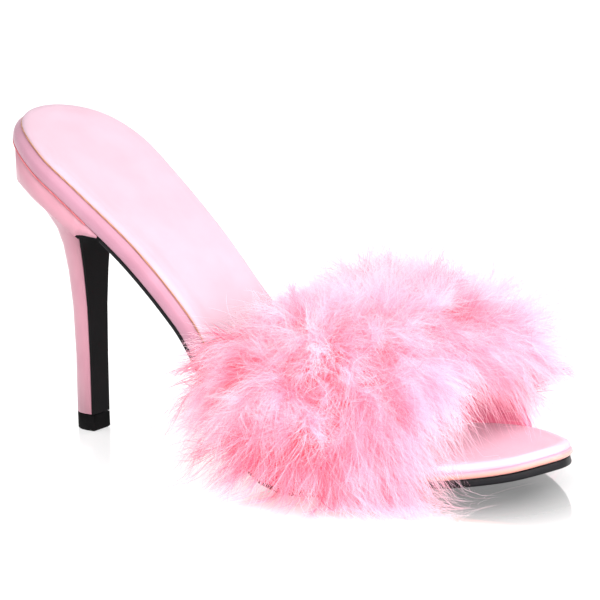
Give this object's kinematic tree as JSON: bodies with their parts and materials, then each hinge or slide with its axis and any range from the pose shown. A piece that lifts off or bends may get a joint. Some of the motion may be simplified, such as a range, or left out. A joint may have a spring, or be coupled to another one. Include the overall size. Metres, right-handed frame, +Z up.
{
  "type": "marabou slipper",
  "caption": "High-heeled satin mule for the right foot, open at toe and back, with a fluffy feather trim over its arched vamp strap and a slim stiletto heel.",
  "frame": {"origin": "on the floor, under the middle of the heel's tip", "axes": "+X towards the toe, +Y towards the inner (medial) side, +Z up"},
  "size_m": [0.2033, 0.149, 0.1073],
  "materials": {
    "heel_tip": "satin black",
    "heel_satin": "pink satin stretched over a moulded plastic heel",
    "black_sole": "semi-matte black",
    "band_satin": "pink satin",
    "sock_satin": "pale pink satin",
    "vamp_satin": "deep pink satin",
    "marabou": "soft fluffy down"
  },
  "bodies": {
    "root": {"top_piece": "heel_tip", "heel": "heel_satin", "breast_cover": "black_sole", "outsole": "black_sole", "footbed": "band_satin", "sock": "sock_satin", "upper": "vamp_satin", "marabou": "marabou"}
  },
  "joints": []
}
